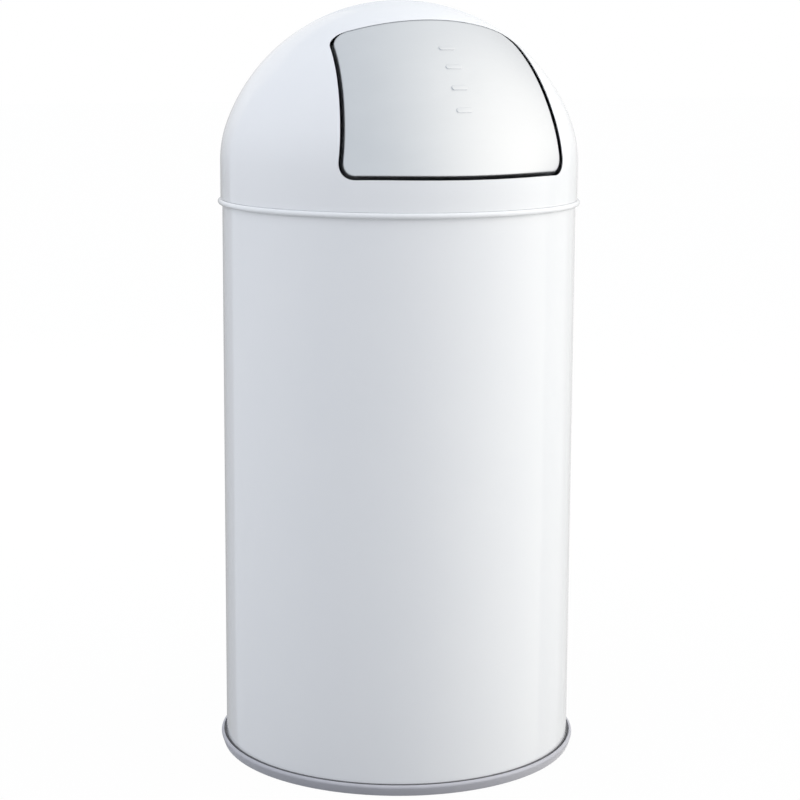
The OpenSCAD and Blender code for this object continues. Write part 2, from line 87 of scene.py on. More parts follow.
MM = 0.001
FLOOR_SIZE = 30
FLOOR_PALE = (0.5, 0.5, 0.5, 1)
FLOOR_SHADOW_PAINT = (0.28, 0.28, 0.28, 1)
SHADOW_PAINT_FROM = 0.2
SHADOW_PAINT_TO = 1
FLOOR_GLOW = 1.03
BACKDROP_SHARE = 0.95
WHITE = (1, 1, 1, 1)
COOL = (0.91, 0.94, 1)
WARM = (1, 0.975, 0.91)
AMBIENT_STRENGTH = 0.72
DARK_SIDE = (0.742, 0.78, 0.825, 1)
BRIGHT_SIDE = (1.48, 1.45, 1.4, 1)
TO_RIGHT = (0.93, -0.36, 0.19)
FADE_FROM = -0.25
FADE_LENGTH = 1.3
FADE_POWER = 1.45
CARD_LIFT = 1 * MM
CARD_FOOT = 0.156
CARD_REACH = 0.8
CARD_PALE_FROM = 0.43
CARD_PALE_TO = 0.75
CARD_TOP = (0.95, 0.95, 0.95, 1)


def feed(tree, socket, value):
    """Sets a socket to a value, or links another node's output to it."""
    if isinstance(value, bpy.types.NodeSocket):
        tree.links.new(value, socket)
    else:
        socket.default_value = value


def node(tree, kind, **inputs):
    """Adds a node to a tree and feeds its inputs by their names."""
    made = tree.nodes.new(f"ShaderNode{kind}")
    for name, value in inputs.items():
        feed(tree, made.inputs[name.replace("_", " ")], value)
    return made


def sum_of(tree, operation, *values, kind="Math", result=0):
    """What a Math or VectorMath node makes of its values."""
    made = tree.nodes.new(f"ShaderNode{kind}")
    made.operation = operation
    for socket, value in zip(made.inputs, values):
        feed(tree, socket, value)
    return made.outputs[result]


def ramp(tree, value, low, high, start=0, end=1):
    """Runs evenly from start to end while the value goes from low to high, and stays level beyond."""
    return node(
        tree, "MapRange", Value=value, From_Min=low, From_Max=high, To_Min=start, To_Max=end,
    ).outputs[0]


def mix(tree, share, first, second):
    """A colour between two: the first where the share is 0, the second where it is 1."""
    return node(tree, "MixRGB", Fac=share, Color1=first, Color2=second).outputs[0]


def places(tree, kind="Object"):
    """The coordinates of what is shaded."""
    return node(tree, "TexCoord").outputs[kind]


def empty_tree(owner):
    """The node tree of a world or a material, with nothing in it."""
    owner.use_nodes = True
    owner.node_tree.nodes.clear()
    return owner.node_tree


def backdrop(tree, kind):
    """A mask for the rays that show the backdrop, and its colour: white, or for gloss a soft fade."""
    path = node(tree, "LightPath").outputs
    gloss = sum_of(tree, "MAXIMUM", path["Is Glossy Ray"], path["Is Transmission Ray"])
    mask = sum_of(tree, "MAXIMUM", path["Is Camera Ray"], gloss)
    heading = sum_of(tree, "NORMALIZE", places(tree, kind), kind="VectorMath")
    sideways = sum_of(tree, "DOT_PRODUCT", heading, TO_RIGHT, kind="VectorMath", result="Value")
    past = ramp(tree, sideways, FADE_FROM, FADE_FROM + FADE_LENGTH)
    fade = mix(tree, sum_of(tree, "POWER", past, FADE_POWER), DARK_SIDE, BRIGHT_SIDE)
    return mask, mix(tree, path["Is Camera Ray"], fade, WHITE)


def split_by(tree, mask, first, second):
    """The first shader where the mask is 0 and the second where it is 1."""
    split = node(tree, "MixShader", Fac=mask)
    tree.links.new(first.outputs[0], split.inputs[1])
    tree.links.new(second.outputs[0], split.inputs[2])
    return split.outputs[0]


world = bpy.data.worlds.new("studio")
bpy.context.scene.world = world
tree = empty_tree(world)
mask, shown = backdrop(tree, "Generated")
room = node(tree, "Background", Color=(*COOL, 1), Strength=AMBIENT_STRENGTH)
white = node(tree, "Background", Color=shown)
node(tree, "OutputWorld", Surface=split_by(tree, mask, room, white))

bpy.ops.mesh.primitive_plane_add(size=FLOOR_SIZE)
floor = bpy.context.object
floor.name = "studio_floor"
pale = bpy.data.materials.new("pale_floor")
tree = empty_tree(pale)
mask, shown = backdrop(tree, "Object")
outward = sum_of(tree, "LENGTH", places(tree), kind="VectorMath", result="Value")
# Painted shadow: the floor's paint turns greyer near the bin.
paint = node(tree, "BsdfDiffuse", Color=mix(
    tree, ramp(tree, outward, SHADOW_PAINT_FROM, SHADOW_PAINT_TO), FLOOR_SHADOW_PAINT, FLOOR_PALE,
))
glow = node(tree, "Emission", Color=shown, Strength=FLOOR_GLOW)
shown_share = sum_of(tree, "MULTIPLY", mask, BACKDROP_SHARE)
node(tree, "OutputMaterial", Surface=split_by(tree, shown_share, paint, glow))
floor.data.materials.append(pale)


def lamp(name, azimuth, distance, height, width, tall, watts, colour, aim=0.32):
    """A soft rectangular lamp, placed by its azimuth round the bin and turned towards its middle."""
    a = math.radians(azimuth)
    at = Vector((math.sin(a) * distance, -math.cos(a) * distance, height))
    bpy.ops.object.light_add(type="AREA", location=at)
    light = bpy.context.object
    light.name = name
    light.rotation_euler = (Vector((0, 0, aim)) - at).to_track_quat("-Z", "Y").to_euler()
    light.data.shape = "RECTANGLE"
    light.data.size = width
    light.data.size_y = tall
    light.data.energy = watts
    light.data.color = colour
    light.visible_glossy = False


lamp("key_lamp", azimuth=60, distance=2.56, height=1, width=2.2, tall=2.8, watts=57, colour=WARM)
lamp("high_lamp", azimuth=-60, distance=1.6, height=1.9, width=2, tall=2, watts=13.5, colour=COOL)
lamp("side_lamp", azimuth=-120, distance=2.26, height=1.14, width=2, tall=2, watts=7, colour=COOL)
lamp("back_lamp", azimuth=172, distance=1.8, height=1.3, width=0.6, tall=1.6, watts=6, colour=WARM)


def select_edges(piece, test):
    """In edit mode, selects the edges that pass the test."""
    mesh = bmesh.from_edit_mesh(piece.data)
    bpy.ops.mesh.select_all(action="DESELECT")
    bpy.ops.mesh.select_mode(type="EDGE")
    for edge in mesh.edges:
        edge.select_set(test(edge))
    bmesh.update_edit_mesh(piece.data)


def card(name, walls, headings, grey, tall):
    """A card that only gloss sees: it lies behind an edge of the bin and stands up further back."""
    corners = []
    for wall, heading in zip(map(math.radians, walls), map(math.radians, headings)):
        foot = CARD_FOOT * Vector((math.sin(wall), -math.cos(wall), 0))
        corners += [foot, foot + CARD_REACH * Vector((math.sin(heading), -math.cos(heading), 0))]
    bpy.ops.mesh.primitive_plane_add(size=1, location=(0, 0, CARD_LIFT))
    sheet = bpy.context.object
    sheet.name = name
    for vertex, corner in zip(sheet.data.vertices, (corners[0], corners[2], corners[1], corners[3])):
        vertex.co = corner
    bpy.ops.object.mode_set(mode="EDIT")
    select_edges(sheet, lambda edge: all(vertex.co.length > CARD_REACH / 2 for vertex in edge.verts))
    bpy.ops.mesh.extrude_edges_move(TRANSFORM_OT_translate={"value": (0, 0, tall)})
    bpy.ops.object.mode_set(mode="OBJECT")
    sheet.visible_camera = False
    sheet.visible_diffuse = False
    sheet.visible_shadow = False
    sheet.visible_transmission = False
    paper = bpy.data.materials.new(name)
    tree = empty_tree(paper)
    height = node(tree, "SeparateXYZ", Vector=places(tree)).outputs["Z"]
    rise = ramp(tree, height, CARD_PALE_FROM, CARD_PALE_TO)
    lit = node(tree, "Emission", Color=mix(tree, rise, (grey, grey, grey, 1), CARD_TOP))
    node(tree, "OutputMaterial", Surface=lit.outputs[0])
    sheet.data.materials.append(paper)


card("left_card", walls=(-111.9, -91), headings=(158.1, 199.9), grey=0.4, tall=1.1)
card("right_card", walls=(68.1, 48.6), headings=(158.1, 119.1), grey=0.66, tall=1.1)
card("wing_card", walls=(48.6, 33), headings=(119.1, 87.9), grey=0.85, tall=0.47)


# ---------------------------------------------------------------------------
# Outer body
# Steel sheet rolled to a tube and welded down the back, its top edge curled outwards and its lower
# edge hemmed inwards, then powder coated white.

BODY_R = 149.5 * MM
SHEET = 0.8 * MM
RIM_TOP = 474.6 * MM
CURL_R = 2.3 * MM
CURL_END = -125
HEM_Z = 2.6 * MM
HEM_RI = 146.7 * MM
HEM_LIP = 4.5 * MM
SEAM_W = 6 * MM
SEAM_PROUD = 0.5 * MM
SEAM_LOW = 9.5 * MM
SEAM_TOP = 468.9 * MM
TURNS = 256
SMALL_TURNS = 48
MERGE = 0.002 * MM
BROAD = 30
Z_AXIS = (0, 0, 1)


def arc(centre, radius, start, end, steps):
    """Points along an arc in a flat profile, its angles in degrees."""
    angles = [math.radians(start + (end - start) * i / steps) for i in range(steps + 1)]
    return [(centre[0] + radius * math.cos(a), centre[1] + radius * math.sin(a)) for a in angles]


def draw_line(name, points):
    """Starts a piece as one vertex and extrudes it through the points. It stays in edit mode."""
    bpy.ops.object.select_all(action="DESELECT")
    bpy.ops.mesh.primitive_plane_add(size=MM, location=points[0])
    piece = bpy.context.object
    piece.name = piece.data.name = name
    bpy.ops.object.transform_apply()
    bpy.ops.object.mode_set(mode="EDIT")
    bpy.ops.mesh.select_mode(type="VERT")
    bpy.ops.mesh.merge(type="CENTER")
    for here, there in zip(points, points[1:]):
        step = Vector(there) - Vector(here)
        bpy.ops.mesh.extrude_vertices_move(TRANSFORM_OT_translate={"value": step})
    return piece


def clean(threshold=MERGE):
    """In edit mode, merges what coincides and turns all faces outwards."""
    bpy.ops.mesh.select_all(action="SELECT")
    bpy.ops.mesh.remove_doubles(threshold=threshold)
    bpy.ops.mesh.normals_make_consistent(inside=False)


def turn(name, points, centre, axis, turns=SMALL_TURNS):
    """Spins a line of points round an axis and closes its seam."""
    piece = draw_line(name, points)
    bpy.ops.mesh.select_all(action="SELECT")
    bpy.ops.mesh.spin(steps=turns, angle=2 * math.pi, center=centre, axis=axis)
    clean()
    bpy.ops.object.mode_set(mode="OBJECT")
    return piece


def lathe(name, profile, turns=TURNS):
    """Spins a half profile, given as (radius, height), round the bin's axis."""
    return turn(name, [(r, 0, z) for r, z in profile], (0, 0, 0), Z_AXIS, turns)


def extend(step):
    """In edit mode, extrudes the selected face by a step."""
    bpy.ops.mesh.extrude_region_move(TRANSFORM_OT_translate={"value": step})


def prism(name, points, step):
    """A solid with an outline of points, extended by a step."""
    piece = draw_line(name, points)
    clean()
    bpy.ops.mesh.edge_face_add()
    extend(step)
    clean()
    bpy.ops.object.mode_set(mode="OBJECT")
    return piece


def apply(piece, kind, **settings):
    """Adds a modifier to the piece and applies it."""
    bpy.context.view_layer.objects.active = piece
    modifier = piece.modifiers.new(kind, kind)
    for name, value in settings.items():
        setattr(modifier, name, value)
    bpy.ops.object.modifier_apply(modifier=modifier.name)


def pick(*pieces):
    """Selects the pieces and nothing else, and makes the first of them the active one."""
    bpy.ops.object.select_all(action="DESELECT")
    for piece in pieces:
        piece.select_set(True)
    bpy.context.view_layer.objects.active = pieces[0]


def join(pieces):
    """Joins the pieces into the first of them."""
    pick(*pieces)
    bpy.ops.object.join()
    return pieces[0]


def shade(piece, angle=35):
    """Smooths the piece's faces where they meet at less than the angle."""
    pick(piece)
    bpy.ops.object.shade_smooth_by_angle(angle=math.radians(angle))


def settle(piece, body, material, slot, *nodes):
    """Gives the piece its finish and lets it ride on its body in place of the CAD nodes."""
    piece.data.materials.clear()
    piece.data.materials.append(material)
    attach(piece, body)
    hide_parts(*nodes)


def new_group(name, inputs, outputs):
    """An empty node group with its named inputs and outputs, and the nodes that give and take them."""
    group = bpy.data.node_groups.new(name, "ShaderNodeTree")
    for label, kind, value in inputs:
        socket = group.interface.new_socket(label, in_out="INPUT", socket_type=f"NodeSocket{kind}")
        socket.default_value = value
    for label, kind in outputs:
        group.interface.new_socket(label, in_out="OUTPUT", socket_type=f"NodeSocket{kind}")
    return group, group.nodes.new("NodeGroupInput").outputs, group.nodes.new("NodeGroupOutput").inputs


# The grain of a finish: a fine relief, drawn out along one way where the stretch is below 1, over a broad
# mottle of two tones.
grain, given, result = new_group(
    "surface_grain",
    [
        ("Size", "Float", 500), ("Stretch", "Vector", (1, 1, 1)), ("Relief", "Float", 0),
        ("Tone", "Color", WHITE), ("Other Tone", "Color", WHITE),
        ("Smoothest", "Float", 0.3), ("Roughest", "Float", 0.4),
    ],
    [("Colour", "Color"), ("Roughness", "Float"), ("Normal", "Vector")],
)
drawn = node(grain, "Mapping", Vector=places(grain), Scale=given["Stretch"]).outputs[0]
fine = node(grain, "TexNoise", Vector=drawn, Scale=given["Size"], Detail=4).outputs[0]
broad_size = sum_of(grain, "DIVIDE", given["Size"], BROAD)
broad = node(grain, "TexNoise", Vector=drawn, Scale=broad_size, Detail=5, Roughness=0.62).outputs[0]
tones = mix(grain, ramp(grain, broad, 0.3, 0.7), given["Tone"], given["Other Tone"])
both = sum_of(grain, "MULTIPLY", sum_of(grain, "ADD", fine, broad), 0.5)
rough = ramp(grain, both, 0.35, 0.65, given["Smoothest"], given["Roughest"])
relief = node(grain, "Bump", Height=fine, Distance=given["Relief"]).outputs[0]
grain.links.new(tones, result["Colour"])
grain.links.new(rough, result["Roughness"])
grain.links.new(relief, result["Normal"])

# Where an outer edge is rubbed by hands and by handling: a broken line along it.
rubbed, given, result = new_group(
    "rubbed_edges", [("Amount", "Float", 0.5), ("Break Up", "Float", 300)], [("Mask", "Float")],
)
edges = ramp(rubbed, node(rubbed, "NewGeometry").outputs["Pointiness"], 0.52, 0.62)
gaps = node(rubbed, "TexNoise", Vector=places(rubbed), Scale=given["Break Up"], Detail=3).outputs[0]
broken = sum_of(rubbed, "MULTIPLY", edges, gaps)
rubbed.links.new(sum_of(rubbed, "MULTIPLY", broken, given["Amount"]), result["Mask"])

# Dust on what faces up.
dusty, given, result = new_group(
    "dust", [("Amount", "Float", 0.3), ("Size", "Float", 60)], [("Mask", "Float")],
)
facing = node(dusty, "SeparateXYZ", Vector=places(dusty, "Normal")).outputs["Z"]
patches = node(
    dusty, "TexNoise", Vector=places(dusty), Scale=given["Size"], Detail=8, Roughness=0.7,
).outputs[0]
settled = sum_of(dusty, "MULTIPLY", ramp(dusty, facing, 0.55, 1), ramp(dusty, patches, 0.4, 0.75))
dusty.links.new(sum_of(dusty, "MULTIPLY", settled, given["Amount"]), result["Mask"])


def effect(tree, group, **inputs):
    """Places a node group in a material with its own values."""
    made = tree.nodes.new("ShaderNodeGroup")
    made.node_tree = group
    for name, value in inputs.items():
        feed(tree, made.inputs[name.replace("_", " ")], value)
    return made.outputs


def new_finish(name, size, relief, tone, other_tone, smoothest, roughest, metallic=0, stretch=(1, 1, 1)):
    """A material with its grain."""
    finish = bpy.data.materials.new(name)
    finish.use_nodes = True
    tree = finish.node_tree
    shader = tree.nodes["Principled BSDF"]
    shader.inputs["Metallic"].default_value = metallic
    look = effect(
        tree, grain, Size=size, Stretch=stretch, Relief=relief,
        Tone=(*tone, 1), Other_Tone=(*other_tone, 1), Smoothest=smoothest, Roughest=roughest,
    )
    tree.links.new(look["Colour"], shader.inputs["Base Color"])
    tree.links.new(look["Roughness"], shader.inputs["Roughness"])
    tree.links.new(look["Normal"], shader.inputs["Normal"])
    return finish


def fed(tree, name):
    """The finish's shader socket of that name, and what feeds it so far."""
    socket = tree.nodes["Principled BSDF"].inputs[name]
    return socket, socket.links[0].from_socket


def over(tree, mask, colour):
    """Lays a colour over the finish's own where the mask says."""
    socket, base = fed(tree, "Base Color")
    tree.links.new(mix(tree, mask, base, (*colour, 1)), socket)


white_coat = new_finish(
    "white_powder_coat", size=420, relief=0.012 * MM,
    tone=(0.85, 0.862, 0.877), other_tone=(0.862, 0.872, 0.884), smoothest=0.07, roughest=0.1,
)

curl_x = BODY_R - SHEET + CURL_R
curl_z = RIM_TOP - CURL_R
outer_body = lathe("outer_body", [
    (HEM_RI + SHEET, HEM_Z + SHEET + HEM_LIP),
    (HEM_RI + SHEET, HEM_Z + SHEET),
    (BODY_R - SHEET, HEM_Z + SHEET),
    *arc((curl_x, curl_z), CURL_R, 180, CURL_END, 36),
])
apply(outer_body, "SOLIDIFY", thickness=SHEET, offset=-1, use_even_offset=True)

seam = prism("seam", [(x * SEAM_W, BODY_R + rise * SEAM_PROUD, SEAM_LOW) for x, rise in [
    (-0.5, -1), (-0.5, 0.4), (-0.46, 0.75), (-0.4, 0.95), (-0.3, 1), (0, 1),
    (0.3, 1), (0.4, 0.95), (0.46, 0.75), (0.5, 0.4), (0.5, -1),
]], (0, 0, SEAM_TOP - SEAM_LOW))
outer_body = join([outer_body, seam])
shade(outer_body)
settle(outer_body, "bin", white_coat, "white_coat", "body_shell")


# ---------------------------------------------------------------------------
# Base ring
# Grey plastic ring, moulded in one piece and pressed over the hem; the bin stands on it. A thin lip at
# its top seals it against the wall, and the groove round the lip is darkened with painted shade.

RING_R = 154.1 * MM
RING_RI = 144.6 * MM
RING_H = 9.2 * MM
RING_ROUND = 2 * MM
RING_LEAN = 20
RING_UNDER = 2.1 * MM
RING_EDGE = 0.8 * MM
RING_FLOOR = 2.3 * MM
RING_LIP = 1.8 * MM
RING_WALL = 149.8 * MM
GROOVE_DEEP = 2.2 * MM
SEAL_T = 0.5 * MM
SEAL_PROUD = 0.4 * MM
SEAL_TOP = RING_H + SEAL_PROUD
GROOVE_SHADE_R = 151.2 * MM
GROOVE_SHADE_EDGE = 0.6 * MM
GROOVE_EDGE = 0.3 * MM
RUBBED_PLASTIC = (0.66, 0.66, 0.69)
DUST = (0.7, 0.69, 0.67)
GROOVE_SHADE_PAINT = (0.19, 0.19, 0.2)

grey_plastic = new_finish(
    "grey_plastic", size=1100, relief=0.03 * MM, tone=(0.48, 0.48, 0.52), other_tone=(0.51, 0.51, 0.55),
    smoothest=0.36, roughest=0.5,
)
tree = grey_plastic.node_tree
over(tree, effect(tree, rubbed, Amount=0.5)["Mask"], RUBBED_PLASTIC)
over(tree, effect(tree, dusty, Amount=0.15)["Mask"], DUST)
flat = node(tree, "Mapping", Vector=places(tree), Scale=(1, 1, 0)).outputs[0]
outward = sum_of(tree, "LENGTH", flat, kind="VectorMath", result="Value")
# Painted shade: the groove inside the ring's crest is painted dark.
over(tree, ramp(tree, outward, GROOVE_SHADE_R, GROOVE_SHADE_R + GROOVE_SHADE_EDGE, 1, 0), GROOVE_SHADE_PAINT)

base_ring = lathe("floor_ring", [
    (RING_RI + RING_EDGE, 0),
    *arc((RING_R - RING_UNDER - RING_EDGE, RING_EDGE), RING_EDGE, -90, -RING_LEAN, 4),
    *arc((RING_R - RING_ROUND, RING_H - RING_ROUND), RING_ROUND, -RING_LEAN, 90, 18),
    *arc((RING_R - RING_ROUND, RING_H - GROOVE_EDGE), GROOVE_EDGE, 90, 180, 4)[1:],
    (RING_R - RING_ROUND - GROOVE_EDGE, RING_H - GROOVE_DEEP),
    (RING_WALL + SEAL_T, RING_H - GROOVE_DEEP),
    (RING_WALL + SEAL_T, SEAL_TOP - GROOVE_EDGE),
    (RING_WALL + SEAL_T / 2, SEAL_TOP),
    (RING_WALL, SEAL_TOP - GROOVE_EDGE),
    (RING_WALL, RING_FLOOR),
    (RING_RI + RING_LIP, RING_FLOOR),
    *arc((RING_RI + RING_LIP / 2, RING_FLOOR + HEM_LIP - RING_LIP / 2), RING_LIP / 2, 0, 180, 8),
    *arc((RING_RI + RING_EDGE, RING_EDGE), RING_EDGE, 180, 270, 4),
])
shade(base_ring)
settle(base_ring, "bin", grey_plastic, "grey_plastic", "base_ring")


# ---------------------------------------------------------------------------
# Dome
# Pressed from one round of steel sheet: a crown and a rounder shoulder over a short straight skirt,
# joggled in to a neck that drops into the body. The throw-in opening is cut square on to a tilted
# direction, its upper edge is rolled down to a thin line, and all of it is powder coated.

DOME_R = 151 * MM
LEDGE_Z = 474.7 * MM
LEDGE_EDGE = 0.25 * MM
BEND_IN = 0.6 * MM
NECK_R = 147.7 * MM
NECK_Z = 459 * MM
KNUCKLE_Z = 506.3 * MM
KNUCKLE_R = 93.7 * MM
CROWN_H = 133.7 * MM
TILT = math.radians(32)
OPENING_H = 149.2 * MM
OPENING_TOP_W = 163.4 * MM
OPENING_BOTTOM_W = 202.2 * MM
OPENING_RISE = 6.9 * MM
BOW_R = 267 * MM
CORNER_R = 16 * MM
ROLL = 4 * MM
ROLL_DEPTH = 0.5 * MM

knuckle_x = DOME_R - KNUCKLE_R
crown_r = (knuckle_x**2 + CROWN_H**2 - KNUCKLE_R**2) / (2 * (CROWN_H - KNUCKLE_R))
crown_z = KNUCKLE_Z + CROWN_H - crown_r
knuckle_end = math.degrees(math.atan2(KNUCKLE_Z - crown_z, knuckle_x))
opening_top = OPENING_RISE + OPENING_H / 2
opening_bottom = OPENING_RISE - OPENING_H / 2
lean = math.atan((OPENING_BOTTOM_W - OPENING_TOP_W) / 2 / OPENING_H)
inwards = Vector((0, math.cos(TILT), -math.sin(TILT)))
upwards = Vector((0, math.sin(TILT), math.cos(TILT)))
crown_c = Vector((0, 0, crown_z))
well_out = 2 * crown_r


def dome_line(offset, low):
    """The dome's half profile from its top down to the height low, set back by the offset."""
    return [
        *arc((0, crown_z), crown_r - offset, 90, knuckle_end, 48),
        *arc((knuckle_x, KNUCKLE_Z), KNUCKLE_R - offset, knuckle_end, 0, 16)[1:],
        (DOME_R - offset, low),
    ]


def half_width(t, inset):
    """Half the opening's width, less an inset, at the height t of its tilted plane."""
    return OPENING_TOP_W / 2 + (opening_top - t) * math.tan(lean) - inset / math.cos(lean)


def corner_c(top, inset, radius):
    """The middle of the round in an upper corner of the opening."""
    return Vector((half_width(top, inset) - radius * (1 - math.sin(lean)) / math.cos(lean), top - radius))


def outline(inset, tuck, top_r, bottom_r):
    """The opening's outline in its tilted plane, or the flap's when it is inset and reaches up by tuck."""
    top = opening_top + tuck
    top_c = corner_c(top, inset, top_r)
    bow = BOW_R - inset
    bow_c = Vector((0, opening_bottom + BOW_R))
    down = Vector((math.sin(lean), -math.cos(lean)))
    side = Vector((math.cos(lean), math.sin(lean)))
    start = Vector((half_width(top, inset), top)) - bottom_r * side - bow_c
    along = start.dot(down)
    run = -along + math.sqrt(along**2 - start.dot(start) + (bow - bottom_r) ** 2)
    low_c = bow_c + start + run * down
    low = math.degrees(math.atan2(low_c.y - bow_c.y, low_c.x - bow_c.x))
    lean_deg = math.degrees(lean)
    return [
        *arc(bow_c, bow, -180 - low, low, 48),
        *arc(low_c, bottom_r, low, lean_deg, 12),
        *arc(top_c, top_r, lean_deg, 90, 12),
        *arc((-top_c.x, top_c.y), top_r, 90, 180 - lean_deg, 12),
        *arc((-low_c.x, low_c.y), bottom_r, 180 - lean_deg, 180 - low, 12),
    ]


def on_tilt(point, depth=0):
    """The place of an outline's point, so far out from the tilted plane through the crown's middle."""
    u, t = point
    return Vector((u, t * math.sin(TILT), crown_z + t * math.cos(TILT))) - depth * inwards


dome = lathe("dome", [
    *dome_line(0, LEDGE_Z + LEDGE_EDGE),
    *arc((DOME_R - LEDGE_EDGE, LEDGE_Z + LEDGE_EDGE), LEDGE_EDGE, 0, -90, 4)[1:],
    *arc((NECK_R + BEND_IN, LEDGE_Z - BEND_IN), BEND_IN, 90, 180, 4),
    (NECK_R, NECK_Z),
    (NECK_R - SHEET, NECK_Z),
    *arc((NECK_R + BEND_IN, LEDGE_Z - BEND_IN), BEND_IN + SHEET, 180, 90, 6),
    *reversed(dome_line(SHEET, LEDGE_Z + SHEET)),
])

opening_edge = [on_tilt(p) for p in outline(0, 0, CORNER_R, CORNER_R)]
cutter = prism("opening_cutter", opening_edge, -well_out * inwards)
apply(dome, "BOOLEAN", operation="DIFFERENCE", solver="EXACT", object=cutter)
bpy.data.objects.remove(cutter)

# The sheet is rolled down towards the opening's upper edge and its two corners.
top_c = corner_c(opening_top, 0, CORNER_R)
for vertex in dome.data.vertices:
    out = vertex.co - crown_c
    past = Vector((max(0, abs(out.x) - top_c.x), out.dot(upwards) - top_c.y))
    edge_way = past.length - CORNER_R
    if out.y < 0 < past.y and edge_way < ROLL and out.length > crown_r - SHEET / 2:
        rolled = ROLL_DEPTH * (1 - max(0, edge_way) / ROLL) ** 2 * past.y / past.length
        vertex.co -= rolled * out.normalized()
shade(dome)
settle(dome, "lid", white_coat, "white_coat", "dome_shell")


# ---------------------------------------------------------------------------
# Flap
# Plain stainless sheet pressed to follow the dome a little deeper, with its edge turned in all round
# so that it is stiff and no raw edge faces the hand. Four ribs are pressed out in a column below its top.

FLAP_GAP = 3.5 * MM
FLAP_TUCK = 2 * MM
FLAP_CORNER_R = 18 * MM
FLAP_EDGE = 7 * MM
RECESS = 1.1 * MM
TOP_LIFT = 0.25 * MM
LIFT_RUN = 8 * MM
FOLD = 1.3 * MM
FOLD_ANGLE = 0.6
FORM_TURNS = 720
LONG_EDGE = 20 * MM
LONG_EDGE_CUTS = 30
RINGS = [0.98, 0.95, 0.9, 0.8, 0.7, 0.6, 0.5, 0.4, 0.3, 0.2, 0.1]
RIBS = 4
RIB_SIDES = 32
RIB_W = 14 * MM
RIB_H = 4.4 * MM
RIB_PROUD = 0.6 * MM
RIB_ROUND = 0.8 * RIB_PROUD
RIB_TOP_T = 45 * MM
RIB_PITCH = 20 * MM

flap_steel = new_finish(
    "satin_stainless", size=1600, relief=0.0015 * MM, stretch=(0.03, 1, 1),
    tone=(0.75, 0.765, 0.78), other_tone=(0.77, 0.785, 0.8), smoothest=0.38, roughest=0.47, metallic=1,
)

flap_r = crown_r - RECESS


def twin_of(piece):
    """A copy of the piece with a mesh of its own."""
    twin = piece.copy()
    twin.data = piece.data.copy()
    bpy.context.scene.collection.objects.link(twin)
    return twin


form = lathe("flap_form", dome_line(RECESS, NECK_Z), turns=FORM_TURNS)
flap = draw_line("flap", [
    on_tilt(p, well_out) for p in outline(FLAP_GAP, FLAP_TUCK, FLAP_CORNER_R, CORNER_R - FLAP_GAP)
])
clean()
select_edges(flap, lambda edge: edge.calc_length() > LONG_EDGE)
bpy.ops.mesh.subdivide(number_cuts=LONG_EDGE_CUTS)
bpy.ops.mesh.select_all(action="SELECT")
middle = on_tilt((0, OPENING_RISE), well_out)
reached = 1
for ring in RINGS:
    bpy.ops.mesh.extrude_edges_move()
    shrink = ring / reached
    bpy.ops.transform.resize(value=(shrink, shrink, shrink), center_override=middle)
    reached = ring
bpy.ops.mesh.merge(type="CENTER")
clean()
bpy.ops.object.mode_set(mode="OBJECT")

apply(
    flap, "SHRINKWRAP", target=form, wrap_method="PROJECT",
    use_negative_direction=True, use_positive_direction=False,
)
bpy.data.objects.remove(form)

# The upper edge is lifted a little, so that it lies close under the dome.
for vertex in flap.data.vertices:
    out = vertex.co - crown_c
    share = min(1, max(0, (out.dot(upwards) - opening_top) / LIFT_RUN + 1))
    vertex.co += share**2 * TOP_LIFT * out.normalized()

bpy.ops.object.mode_set(mode="EDIT")
select_edges(flap, lambda edge: edge.is_boundary)
bpy.ops.mesh.extrude_edges_move(TRANSFORM_OT_translate={"value": FLAP_EDGE * inwards})
select_edges(flap, lambda edge: edge.is_manifold and edge.calc_face_angle() > FOLD_ANGLE)
bpy.ops.mesh.bevel(offset=FOLD, segments=4, affect="EDGES")
clean()
bpy.ops.object.mode_set(mode="OBJECT")
apply(flap, "SOLIDIFY", thickness=SHEET, offset=-1, use_even_offset=True)

bpy.ops.object.select_all(action="DESELECT")
bpy.ops.mesh.primitive_circle_add(vertices=RIB_SIDES, radius=RIB_H / 2, fill_type="NGON")
pill = bpy.context.object
for vertex in pill.data.vertices:
    vertex.co.x += math.copysign((RIB_W - RIB_H) / 2, vertex.co.x)
bpy.ops.object.mode_set(mode="EDIT")
bpy.ops.mesh.select_all(action="SELECT")
extend((0, 0, 2 * RIB_PROUD))
bpy.ops.mesh.bevel(offset=RIB_ROUND, segments=4, affect="EDGES")
clean()
bpy.ops.object.mode_set(mode="OBJECT")
ribs = []
for i in range(RIBS):
    t = RIB_TOP_T - i * RIB_PITCH
    at = on_tilt((0, t), math.sqrt(flap_r**2 - t**2))
    lie = math.pi / 2 - math.asin((at.z - crown_z) / flap_r)
    rib = twin_of(pill)
    rib.data.transform(
        Matrix.Translation(at) @ Matrix.Rotation(lie, 4, "X") @ Matrix.Translation((0, 0, -RIB_PROUD))
    )
    ribs.append(rib)
bpy.data.objects.remove(pill)
flap = join([flap, *ribs])
shade(flap)
settle(flap, "flap", flap_steel, "flap_steel", "flap_panel")


# ---------------------------------------------------------------------------
# Hinge rod and its clips
# A straight zinc-plated wire that carries the flap. It goes through both brackets, and a push-on clip
# of spring steel at each end keeps it there.

HINGE = Vector((0, -34 * MM, 600 * MM))
ROD_R = 2 * MM
ROD_END = 78.25 * MM
ROD_EDGE = 0.4 * MM
CLIP_U = 75.05 * MM
CLIP_R = 4.8 * MM
CLIP_T = 1.2 * MM
CLIP_EDGE = 0.2 * MM
CLIP_FLANGE_T = 0.5 * MM
CLIP_FOOT_T = 0.6 * MM
CLIP_FOOT_R = 0.75 * CLIP_R
CLIP_TOP_R = 0.6 * CLIP_R
X_AXIS = (1, 0, 0)

